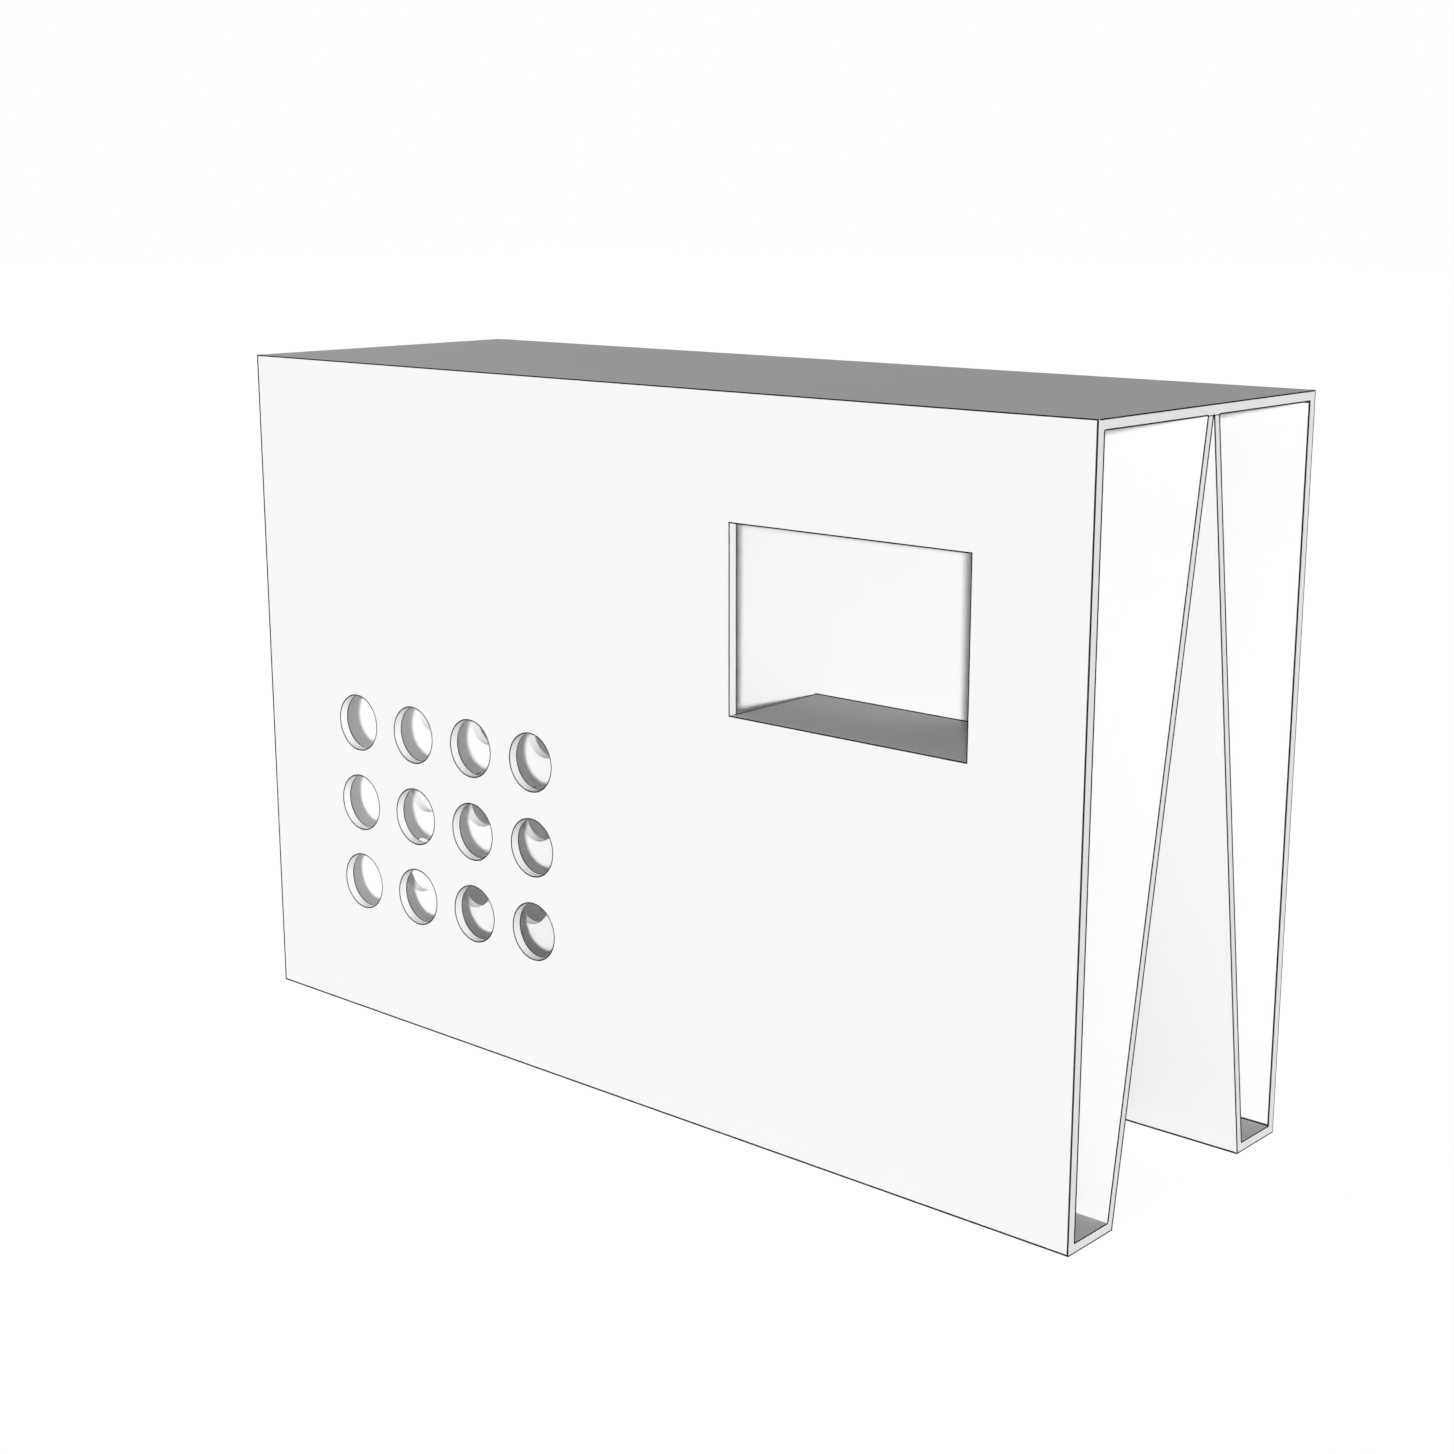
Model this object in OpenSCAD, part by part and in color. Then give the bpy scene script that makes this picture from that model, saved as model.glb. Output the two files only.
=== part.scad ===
// Wine bottle stand: a counter folded from one band of sheet, with a rack of round holes
// low in the front and a window higher up that opens on a shelf.
// X runs along the counter, Y from front to back and Z up.
// The origin is on the floor, under the middle of the top.

/* [Counter] */
// Length of the counter from end to end
counter_length = 1371.6; // [1200:0.1:1800]
// Depth of the top from front to back
counter_depth = 457.2; // [420:0.1:600]
// Height of the top above the floor
counter_height = 914.4; // [820:0.1:1100]
// Thickness of the sheet
sheet_t = 12.7; // [9:0.1:18]
// Depth of each foot on the floor
foot_depth = 88.9; // [70:0.1:110]

/* [Rack] */
// Diameter of each rack hole
rack_hole_d = 76.2; // [60:0.1:95]
// Number of holes in a row
rack_columns = 4; // [1:1:5]
// Number of rows of holes
rack_rows = 3; // [1:1:4]
// Spacing of the hole centres, along a row and from row to row
rack_pitch = 114.3; // [100:0.1:130]
// Distance from the left end to the first hole centre in a row
rack_from_end = 190.5; // [80:0.1:240]
// Height of the lowest row of hole centres above the floor
lowest_row_z = 190.5; // [100:0.1:260]

/* [Window] */
// Width of the window
window_width = 342.9; // [200:0.1:400]
// Height of the window opening
window_height = 228.6; // [120:0.1:300]
// Height of the window sill above the floor
sill_z = 533.4; // [450:0.1:570]
// Distance from the right end to the window
window_from_end = 152.4; // [60:0.1:200]

/* [Shelf] */
// Thickness of the shelf
shelf_t = 12.7; // [6:0.1:18]
// Depth of the rebate and the groove that hold the long edges of the shelf
housing_depth = 6.3; // [3:0.1:7]
// Glue gap around the edges of the shelf in its housings
glue_gap = 0.2; // [0.1:0.05:0.5]

/* [Hidden] */

// How far a cutter runs past the surface that it starts from
overcut = 5;
$fn = 96;

front_y = -counter_depth / 2;
front_inner_y = front_y + sheet_t;
left_x = -counter_length / 2;
underside_z = counter_height - sheet_t;
window_left_x = counter_length / 2 - window_from_end - window_width;

// The inner sheets lean inward from the feet and meet under the middle of the top
gap_half_w = counter_depth / 2 - foot_depth;
lean = atan(gap_half_w / underside_z);
// Thickness of a leaning sheet, measured level
level_t = sheet_t / cos(lean);

// Y of the front leaning sheet at height z, on the side of the gap between the feet
function lean_gap_y(z) = -gap_half_w * (1 - z / underside_z);
// Y of the front leaning sheet at height z, on the side of the front hollow
function lean_hollow_y(z) = lean_gap_y(z) - level_t;

// Profiles are drawn with Y across and Z up, and run along the counter from x
module run_along(x, length) {
    translate([x, 0, 0])
        rotate([90, 0, 90])
            linear_extrude(length)
                children();
}

// Outline of the band's outer side, with the gap between the two feet
module outer_profile() {
    polygon([
        [front_y, 0],
        [-gap_half_w, 0],
        [0, underside_z],
        [gap_half_w, 0],
        [-front_y, 0],
        [-front_y, counter_height],
        [front_y, counter_height]
    ]);
}

// Hollow between the front sheet and the front leaning sheet
module front_hollow_profile() {
    polygon([
        [front_inner_y, sheet_t],
        [lean_hollow_y(sheet_t), sheet_t],
        [lean_hollow_y(underside_z), underside_z],
        [front_inner_y, underside_z]
    ]);
}

// Section of the band: down the front, under each foot, up to the top's middle and back
module band_profile() {
    difference() {
        outer_profile();
        front_hollow_profile();
        mirror([1, 0]) front_hollow_profile();
    }
}

// Section of the shelf, its long edges let into the front and the leaning sheet by depth
module shelf_profile(depth) {
    bottom_z = sill_z - shelf_t;
    level_depth = depth / cos(lean);
    polygon([
        [front_inner_y - depth, bottom_z],
        [lean_hollow_y(bottom_z) + level_depth, bottom_z],
        [lean_hollow_y(sill_z) + level_depth, sill_z],
        [front_inner_y - depth, sill_z]
    ]);
}

// Level holes through the front sheet and, behind it, through the front leaning sheet
module rack_holes() {
    for (column = [0 : rack_columns - 1], row = [0 : rack_rows - 1])
        translate([
            left_x + rack_from_end + column * rack_pitch,
            front_y - overcut,
            lowest_row_z + row * rack_pitch
        ])
            rotate([-90, 0, 0])
                cylinder(d = rack_hole_d, h = overcut - front_y);
}

// Window through the front sheet alone
module window() {
    translate([window_left_x, front_y - overcut, sill_z])
        cube([window_width, sheet_t + 2 * overcut, window_height]);
}

// Rebate behind the sill and groove in the leaning sheet, which hold the shelf
module shelf_housing() {
    run_along(window_left_x, window_width)
        shelf_profile(housing_depth);
}

module folded_body() {
    color("whitesmoke")
        difference() {
            run_along(left_x, counter_length) band_profile();
            rack_holes();
            window();
            shelf_housing();
        }
}

module window_shelf() {
    color("darkgray")
        run_along(window_left_x + glue_gap, window_width - 2 * glue_gap)
            shelf_profile(housing_depth - glue_gap);
}

folded_body();
window_shelf();
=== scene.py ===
# %% [markdown]
# # A wine bottle stand folded from one sheet
#
# The object is a counter. One band of half-inch board runs down the front, under a narrow
# foot, up to the middle of the top on a slant, and the same again at the back, so its ends
# show an M. Low in the front there is a rack of round holes, and higher up a window opens
# on a small shelf.
#
# The construction is already there as a fixed frame in metres, with the origin on the floor
# under the middle of the top. This file adds what makes it look real: the finish of each
# face, the thin dark line at every arris, the floor, the light and the camera.

# %% Load the frame
import math

import bpy
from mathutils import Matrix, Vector


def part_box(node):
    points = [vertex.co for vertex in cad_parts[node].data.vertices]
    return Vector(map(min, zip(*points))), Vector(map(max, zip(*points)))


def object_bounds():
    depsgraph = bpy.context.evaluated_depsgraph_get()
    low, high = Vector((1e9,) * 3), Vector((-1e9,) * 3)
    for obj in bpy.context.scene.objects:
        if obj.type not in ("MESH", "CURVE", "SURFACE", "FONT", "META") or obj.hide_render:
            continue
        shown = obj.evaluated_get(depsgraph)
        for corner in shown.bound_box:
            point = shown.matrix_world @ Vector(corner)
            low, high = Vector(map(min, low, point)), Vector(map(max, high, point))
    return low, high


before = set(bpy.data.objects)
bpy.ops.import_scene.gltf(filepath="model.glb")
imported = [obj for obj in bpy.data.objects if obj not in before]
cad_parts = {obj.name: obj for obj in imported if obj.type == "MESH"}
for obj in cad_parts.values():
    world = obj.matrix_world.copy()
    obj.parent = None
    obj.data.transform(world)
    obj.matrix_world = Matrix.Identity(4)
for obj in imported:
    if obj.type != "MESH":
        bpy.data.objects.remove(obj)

cad_low, cad_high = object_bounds()
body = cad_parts["folded_body"]
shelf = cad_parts["window_shelf"]
print("frame", [round(b - a, 4) for a, b in zip(cad_low, cad_high)], "m")
print("nodes", sorted(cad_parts))

# %% [markdown]
# ## Sizes that the finishes need
#
# A finish that changes from face to face has to know where the faces are. Most of the sizes
# are read from the frame, so the finishes follow it when it changes. Only the sheet's
# thickness, the depth of a foot and the height of the rack have to be written down.
#
# The two inner sheets lean inward from the feet and meet under the middle of the top. Their
# slope follows from the depth of a foot.

# %% Sizes
SHEET = 0.0127
FOOT = 0.0889
RACK_LOW = 0.10
RACK_HIGH = 0.50

length = cad_high.x - cad_low.x
depth = cad_high.y - cad_low.y
height = cad_high.z - cad_low.z
underside = height - SHEET
half_gap = depth / 2 - FOOT
lean = math.atan(half_gap / underside)
shelf_low, shelf_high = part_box("window_shelf")
print(f"counter {length:.3f} x {depth:.3f} x {height:.3f} m")
print(f"inner sheets lean {math.degrees(lean):.2f} degrees, shelf top at {shelf_high.z:.4f} m")

# %% [markdown]
# ## Camera
#
# The camera stands off the right front corner, a little above the top. Its place and lens
# come from the vanishing points of the long edges. A square picture on a 36 mm sensor with
# a 57 mm lens has a view of 35 degrees.

# %% Camera
LENS = 57.0
SENSOR = 36.0
CAMERA_PLACE = Vector((1.9459, -2.2149, 1.1420))
CAMERA_AZIMUTH = 41.532
CAMERA_ELEVATION = 13.214


def direction_from(azimuth, elevation):
    """Unit vector from the object to a viewer at these degrees to the right and up."""
    turn = math.radians(azimuth)
    level = math.cos(math.radians(elevation))
    up = math.sin(math.radians(elevation))
    return Vector((math.sin(turn) * level, -math.cos(turn) * level, up))


def aim(holder, towards):
    """Turns a camera or a lamp so that it looks along this direction."""
    holder.rotation_euler = towards.to_track_quat("-Z", "Y").to_euler()


lens = bpy.data.cameras.new("camera")
lens.lens = LENS
lens.sensor_width = SENSOR
camera = bpy.data.objects.new("camera", lens)
bpy.context.scene.collection.objects.link(camera)
camera.location = CAMERA_PLACE
looking = -direction_from(CAMERA_AZIMUTH, CAMERA_ELEVATION)
aim(camera, looking)
bpy.context.scene.camera = camera
print("camera looks along", [round(c, 4) for c in looking])

# %% [markdown]
# ## Shader formulas
#
# A finish is easier to read as a formula than as a list of nodes and links. Signal wraps
# one output socket, and each operator on it adds a Math node, so `1 - mask` works as it is
# written. Finish owns a material and has one method that adds any other node.

# %% Signal
class Signal:
    """One value that changes over a surface."""

    def __init__(self, finish, socket):
        self.finish = finish
        self.socket = socket

    def math(self, operation, *others):
        values = {i: value for i, value in enumerate((self, *others))}
        return self.finish.node("ShaderNodeMath", {"operation": operation}, values)

    def __add__(self, other):
        return self.math("ADD", other)

    __radd__ = __add__

    def __mul__(self, other):
        return self.math("MULTIPLY", other)

    __rmul__ = __mul__

    def __sub__(self, other):
        return self.math("SUBTRACT", other)

    def __rsub__(self, other):
        return self * -1 + other

    def __or__(self, other):
        return self.math("MAXIMUM", other)

    def __abs__(self):
        return self.math("ABSOLUTE")

    def above(self, level):
        """1 where the signal is above the level, and 0 elsewhere."""
        return self.math("GREATER_THAN", level)

    def below(self, level):
        """1 where the signal is below the level, and 0 elsewhere."""
        return self.math("LESS_THAN", level)

    def near(self, value, reach):
        """1 where the signal is within reach of value, and 0 elsewhere."""
        return abs(self - value).below(reach)


# %% Finish
class Finish:
    """A material whose nodes are written as formulas."""

    def __init__(self, name):
        self.material = bpy.data.materials.new(name)
        self.material.use_nodes = True
        self.tree = self.material.node_tree
        self.tree.nodes.clear()

    def node(self, kind, settings=None, inputs=None, output=0):
        """Adds a node, sets it up, feeds its sockets and gives one of its outputs."""
        made = self.tree.nodes.new(kind)
        for key, value in (settings or {}).items():
            setattr(made, key, value)
        for key, value in (inputs or {}).items():
            if isinstance(value, Signal):
                self.tree.links.new(value.socket, made.inputs[key])
            else:
                made.inputs[key].default_value = value
        return Signal(self, made.outputs[output]) if made.outputs else None

    def place(self, axis):
        """X, Y or Z of the surface point in the frame, in metres."""
        point = self.node("ShaderNodeNewGeometry", output="Position")
        return self.node("ShaderNodeSeparateXYZ", inputs={0: point}, output=axis)

    def facing(self, axis):
        """How far the surface faces along X, Y or Z, from -1 to 1."""
        normal = self.node("ShaderNodeNewGeometry", output="True Normal")
        return self.node("ShaderNodeSeparateXYZ", inputs={0: normal}, output=axis)

    def grain(self, size, detail=2.0):
        """Noise from 0 to 1 whose lumps are about size across, in metres."""
        point = self.node("ShaderNodeNewGeometry", output="Position")
        settings = {"noise_dimensions": "3D"}
        inputs = {"Vector": point, "Scale": 1 / size, "Detail": detail}
        return self.node("ShaderNodeTexNoise", settings, inputs)

    def mix(self, share, first, second):
        """A colour between first and second."""
        settings = {"data_type": "RGBA"}
        return self.node("ShaderNodeMix", settings, {0: share, 6: first, 7: second}, output=2)

    def shade(self, color, signal):
        """The colour made darker or lighter by a signal around 1."""
        level = self.node("ShaderNodeCombineXYZ", inputs={0: signal, 1: signal, 2: signal})
        settings = {"operation": "MULTIPLY"}
        return self.node("ShaderNodeVectorMath", settings, {0: color[:3], 1: level})

    def surface(self, inputs, bump, bump_depth):
        """The last nodes: a bump, the main shader and the output."""
        normal = self.node("ShaderNodeBump", inputs={"Height": bump, "Distance": bump_depth})
        shader = self.node("ShaderNodeBsdfPrincipled", inputs={**inputs, "Normal": normal})
        self.node("ShaderNodeOutputMaterial", inputs={"Surface": shader})
        return self.material


def grey(level):
    return (level, level, level, 1)


print("formulas ready")

# %% [markdown]
# ## Laminate
#
# The board is faced with white laminate. Every upright and slanting face shows it white. Every
# level face, the top, the window's sill and shelf and the feet's floors, gets a mid grey that
# is
# painted shade: it stands for the darker tone that level faces take under light coming nearly
# level from the front. One formula does both: it asks which way the face looks, and keeps the
# round walls of the rack's holes white although their lowest part looks up too.
#
# Laminate isn't one flat colour. Pressing leaves a fine suede in the surface, and the paper
# under it is a little uneven, so the white gets a soft, slow variation and a fine grain, and
# the painted grey of the level faces gets the same, more strongly. The finish is super-matt,
# so its mirror part is weak and wide, and the pores of the suede are hundredths of a
# millimetre deep.
#
# Under its face laminate has a core of almost black paper, which shows only where a sheet of
# it is cut.

# %% Laminate
WHITE = grey(0.90)
# Painted shade: this mid grey on the level faces stands for the shade they take, on a board
# that is white.
LEVEL_SHADE_GREY = grey(0.42)
CORE = grey(0.025)
WHITE_UNEVEN = (0.02, 0.01)
LEVEL_SHADE_UNEVEN = (0.04, 0.10)
CLOUD_SIZE = 0.18
FLECK_SIZE = 0.0022
FLECK_DETAIL = 3.0
SUEDE_SIZE = 0.0007
SUEDE_DEPTH = 0.00003
ROUGHEST = 0.90
ROUGHNESS_SPAN = 0.10
MIRROR = 0.03
STRAIGHT = 0.9


def uneven(share, cloud, fleck):
    """A signal around 1 that varies slowly and finely by these two shares."""
    slow, fine = share
    return 1 - (slow + fine) / 2 + slow * cloud + fine * fleck


def laminate_and_painted_shade(finish, cloud):
    """White on upright faces and painted shade, a mid grey, on level ones, both a little
    uneven.
    """
    # Faces that look up get the painted shade.
    shaded_level_face = finish.facing("Z").above(STRAIGHT)
    z = finish.place("Z")
    beside_rack = z.above(RACK_HIGH) + z.below(RACK_LOW)
    fleck = finish.grain(FLECK_SIZE, FLECK_DETAIL)
    white = finish.shade(WHITE, uneven(WHITE_UNEVEN, cloud, fleck))
    # The painted shade of the level faces, a mid grey.
    dark = finish.shade(LEVEL_SHADE_GREY, uneven(LEVEL_SHADE_UNEVEN, cloud, fleck))
    return finish.mix(shaded_level_face * beside_rack, white, dark)


def laminate(name, line):
    """The board's finish, with painted shade on its level faces. Where line is 1, the dark
    core of the laminate shows instead.
    """
    finish = Finish(name)
    cloud = finish.grain(CLOUD_SIZE)
    color = finish.mix(line(finish), laminate_and_painted_shade(finish, cloud), CORE)
    inputs = {
        "Base Color": color,
        "Roughness": ROUGHEST - ROUGHNESS_SPAN * cloud,
        "Specular IOR Level": MIRROR,
    }
    return finish.surface(inputs, finish.grain(SUEDE_SIZE), SUEDE_DEPTH)


print(f"laminate: white {WHITE[0]}, grey {LEVEL_SHADE_GREY[0]}, core {CORE[0]}")

# %% [markdown]
# ## The strips at every edge
#
# Where one sheet of laminate laps over the next, its cut edge shows as a dark hairline
# beside the arris, and that line draws the whole object. It is modelled: a Bevel modifier
# with a square profile leaves every edge sharp and adds one narrow strip on each side of
# it, in the plane of its face. Those strips get a material slot of their own.
#
# The mesh from the frame has its triangles split apart, so a Weld joins them first, and a
# planar Decimate takes out the lines inside flat faces, which would stop the strips. The
# bevel's angle leaves out the small steps round the wall of a hole. A strip can't be wider
# than about 1.6 mm here, because the two strips of the narrow gap between the inner sheets
# meet above its tip and have to end inside the top's thickness.

# %% Strips
LINE = 0.0016
SAME_POINT = 1e-6
SAME_PLANE = math.radians(0.5)
SHARP_EDGE = math.radians(25)


def add_line_strips(piece):
    weld = piece.modifiers.new("join", "WELD")
    weld.merge_threshold = SAME_POINT
    flat = piece.modifiers.new("flatten", "DECIMATE")
    flat.decimate_type = "DISSOLVE"
    flat.angle_limit = SAME_PLANE
    strips = piece.modifiers.new("strips", "BEVEL")
    strips.width = LINE
    strips.segments = 2
    strips.profile = 1.0
    strips.limit_method = "ANGLE"
    strips.angle_limit = SHARP_EDGE
    strips.loop_slide = False
    strips.use_clamp_overlap = False
    strips.material = 1


for piece in (body, shelf):
    add_line_strips(piece)
    print(piece.name, "has strips", LINE * 1000, "mm wide")

# %% [markdown]
# ## Which strips are dark
#
# At each arris only one of its two strips is the cut edge. The laminate on the outside laps
# over all the rest, so the dark line shows on the front and the back, on the two ends, along
# the floor, and round the inner side of the window and the holes. At the front corners the
# front laps over the end, so the end's own strip there is white. Strips in other places keep
# the board's own colour, and so do those of the gap's tip where they run on into the top.

# %% Dark strips
SEAM = 0.0011
TOUCH = 0.0003


def board_line(finish):
    """1 on the strips that show the core, and 0 on the others."""
    y = finish.place("Y")
    z = finish.place("Z")
    outside = abs(y).near(depth / 2, TOUCH)
    inner_rim = abs(y).near(depth / 2 - SHEET, LINE + TOUCH)
    at_floor = z.below(LINE + TOUCH)
    on_end = abs(finish.place("X")).near(length / 2, TOUCH)
    lapped = y.below(-depth / 2 + LINE)
    in_top = z.above(underside + SEAM) * z.below(height - LINE - TOUCH)
    over_tip = in_top * abs(y).below(SHEET)
    return on_end * (1 - lapped) * (1 - over_tip) | outside | inner_rim | at_floor


print("strips show the core on the outside, the ends, the inner rims and the floor")

# %% [markdown]
# ## Lines without a strip
#
# Some lines have no edge of their own in the mesh, so they are drawn by their place: the seam
# where the inner sheets meet the underside of the top, the joint along the back of the shelf
# and the shelf's two short edges.
#
# A few strips are too narrow for where they are, seen against white or from far away. A
# sliver beside them widens the lines of the ends, of the front's border and of the gap along
# the floor. The rear upright needs none, because the strip on its inner side shows too.

# %% Drawn lines
SHELF_JOINT = 0.0014
SHELF_END = 0.0030
SLIVER = 0.0009
NEAR_SLIVER = 0.0006


def seam_line(finish):
    """1 on the seam under the top and on the joint along the back of the shelf."""
    x = finish.place("X")
    y = finish.place("Y")
    z = finish.place("Z")
    on_end = abs(x).near(length / 2, TOUCH)
    under_top = z.near(underside, SEAM / 2) * abs(y).below(SHEET)
    along_shelf = x.above(shelf_low.x) * x.below(shelf_high.x)
    over_shelf = z.near(shelf_high.z + SHELF_JOINT / 2, SHELF_JOINT / 2)
    behind_shelf = y.above(2 * SHEET - depth / 2) * y.below(0)
    joint = along_shelf * over_shelf * behind_shelf * finish.facing("Y").below(0)
    return on_end * under_top | joint


def sliver_line(finish):
    """1 on the slivers beside the strips of the ends, the front's border and the gap."""
    x = finish.place("X")
    y = finish.place("Y")
    z = finish.place("Z")
    reach = LINE + SLIVER
    near_reach = LINE + NEAR_SLIVER
    upright = y.near(SHEET - depth / 2, reach) * z.above(SHEET)
    from_gap = (abs(y) + z * (half_gap / underside) - half_gap) * math.cos(lean)
    leaning = from_gap.near(0, reach) | from_gap.near(SHEET, reach) * z.above(SHEET)
    on_end = abs(x).near(length / 2, TOUCH) * z.below(underside)
    far_border = x.below(reach - length / 2)
    near_border = x.above(length / 2 - near_reach) | z.below(near_reach)
    outside = abs(y).near(depth / 2, TOUCH)
    in_gap = from_gap.near(0, TOUCH) * z.below(reach)
    return on_end * (upright | leaning) | outside * (far_border | near_border) | in_gap


def shelf_edge_line(finish):
    """1 on every strip beside the two short edges of the shelf."""
    x = finish.place("X")
    return x.below(shelf_low.x + SHELF_END) | x.above(shelf_high.x - SHELF_END)


def shelf_line(finish):
    """1 beside the two short edges of the shelf, but not on its two end faces."""
    end_face = abs(finish.facing("X")).above(STRAIGHT)
    return shelf_edge_line(finish) * (1 - end_face)


print("drawn lines: seam", SEAM * 1000, "mm, shelf joint", SHELF_JOINT * 1000, "mm")

# %% [markdown]
# ## Dressing the two pieces
#
# Each piece gets two materials, one for its faces and one for its strips. They are the same
# laminate and differ only in where the dark core shows. The record's slot says what each
# piece is made of in the library.

# %% Dress the body and the shelf
def dress(piece, materials):
    piece.data.materials.clear()
    for material in materials:
        piece.data.materials.append(material)
    print(piece.name, "finished with", [material.name for material in materials])


dress(body, [
    laminate("body_laminate", lambda finish: seam_line(finish) | sliver_line(finish)),
    laminate("body_edges", lambda finish: seam_line(finish) | board_line(finish)),
])
dress(shelf, [
    laminate("shelf_laminate", shelf_line),
    laminate("shelf_edges", shelf_edge_line),
])

# %% [markdown]
# ## Floor
#
# The floor and the world show white to the camera and are plain diffuse surfaces to
# everything else, so the background is white without extra light on the object. The floor
# keeps a part of its own shading, which is where the object's soft shadow lies. The glow is
# set so that the two parts add up to white where the floor has its usual light.

# %% Floor
FLOOR_SIDE = 60.0
FLOOR_COLOR = grey(0.35)
FLOOR_LIT = 0.26
SHADOW_SHARE = 0.40
FULL_WHITE = 1.01
SHOWING_RAYS = ("Is Camera Ray", "Is Glossy Ray", "Is Transmission Ray")


def seen_directly(finish):
    """1 for rays that show the background, and 0 for rays that light the object."""
    camera_ray, glossy_ray, glass_ray = [
        finish.node("ShaderNodeLightPath", output=name) for name in SHOWING_RAYS
    ]
    return camera_ray | glossy_ray | glass_ray


def floor_finish():
    finish = Finish("floor")
    glow_level = (FULL_WHITE - SHADOW_SHARE * FLOOR_LIT) / (1 - SHADOW_SHARE)
    matt = finish.node("ShaderNodeBsdfDiffuse", inputs={"Color": FLOOR_COLOR})
    glow_inputs = {"Color": grey(1.0), "Strength": glow_level}
    glow = finish.node("ShaderNodeEmission", inputs=glow_inputs)
    share = seen_directly(finish) * (1 - SHADOW_SHARE)
    mixed = finish.node("ShaderNodeMixShader", inputs={0: share, 1: matt, 2: glow})
    finish.node("ShaderNodeOutputMaterial", inputs={"Surface": mixed})
    return finish.material


floor_mesh = bpy.data.meshes.new("floor")
far = FLOOR_SIDE / 2
corners = [(-far, -far, 0), (far, -far, 0), (far, far, 0), (-far, far, 0)]
floor_mesh.from_pydata(corners, [], [(0, 1, 2, 3)])
floor_mesh.materials.append(floor_finish())
floor = bpy.data.objects.new("floor", floor_mesh)
bpy.context.scene.collection.objects.link(floor)
print("floor", FLOOR_SIDE, "m wide")

# %% [markdown]
# ## Key lamp
#
# The key lamp stands behind the camera, almost in line with the window. Most shadows that it
# throws hide behind the edge that throws them, and only the rack's holes, which are off that
# line, keep a crescent of shadow that shows their depth.
#
# A lamp so near has a fault: along a flat face its light weakens with the square of the
# distance, and once more because it meets the far part at a slant. The key's strength
# therefore grows with the cube of the distance, which cancels both. Each flat face gets one
# even tone, and the clear steps between the faces tell them apart.
#
# In Blender the Constant output of Light Falloff takes away the weakening with the square of
# the distance, and the length of the ray puts one more power of it on top.

# %% Key lamp
KEY_PLACE = Vector((3.53, -4.20, 1.50))
KEY_STRENGTH = 7.35
KEY_RADIUS = 0.12


class Glow(Finish):
    """The nodes of the world or of a lamp, written in the same way as a finish."""

    def __init__(self, owner):
        owner.use_nodes = True
        self.tree = owner.node_tree
        self.tree.nodes.clear()


def hold(lamp):
    holder = bpy.data.objects.new(lamp.name, lamp)
    bpy.context.scene.collection.objects.link(holder)
    return holder


def add_key(place, strength, radius):
    """A round lamp that gives each point of a flat face the same light."""
    lamp = bpy.data.lights.new("key", "POINT")
    lamp.energy = strength
    lamp.shadow_soft_size = radius
    glow = Glow(lamp)
    steady = glow.node("ShaderNodeLightFalloff", inputs={"Strength": 1.0}, output="Constant")
    distance = glow.node("ShaderNodeLightPath", output="Ray Length")
    inputs = {"Color": grey(1.0), "Strength": steady * distance}
    shine = glow.node("ShaderNodeEmission", inputs=inputs)
    glow.node("ShaderNodeOutputLight", inputs={"Surface": shine})
    holder = hold(lamp)
    holder.location = place
    holder.visible_camera = False


add_key(KEY_PLACE, KEY_STRENGTH, KEY_RADIUS)
print("key lamp", [round(c, 2) for c in KEY_PLACE], "m")

# %% [markdown]
# ## Fill light
#
# Weaker lamps from above, from behind and from behind the left end, and an even glow of the
# world, light the sides that the camera doesn't see. They are wide and soft. The lamp at the
# left reaches in past the open end, so the hollows there aren't dark.

# %% Wide lamps and world
AMBIENT = 0.30
WIDE_LAMPS = {
    # name: (azimuth, elevation, strength, width of the lamp in degrees)
    "overhead": (0, 90, 0.20, 40),
    "back": (178, 8, 1.4, 12),
    "left": (248, 10, 1.8, 16),
}


def add_wide_lamp(name, azimuth, elevation, strength, width):
    lamp = bpy.data.lights.new(name, "SUN")
    lamp.energy = strength
    lamp.angle = math.radians(width)
    aim(hold(lamp), -direction_from(azimuth, elevation))


def light_world():
    world = bpy.data.worlds.new("world")
    bpy.context.scene.world = world
    glow = Glow(world)
    strength = seen_directly(glow) * (1 - AMBIENT) + AMBIENT
    inputs = {"Color": grey(1.0), "Strength": strength}
    shine = glow.node("ShaderNodeBackground", inputs=inputs)
    glow.node("ShaderNodeOutputWorld", inputs={"Surface": shine})


light_world()
for name, setting in WIDE_LAMPS.items():
    add_wide_lamp(name, *setting)
print("wide lamps:", ", ".join(WIDE_LAMPS))

# %% [markdown]
# ## Colour transform
#
# The picture uses the plain Standard transform, so a colour comes out as it is written.

# %% Finish the scene
bpy.context.scene.view_settings.view_transform = "Standard"
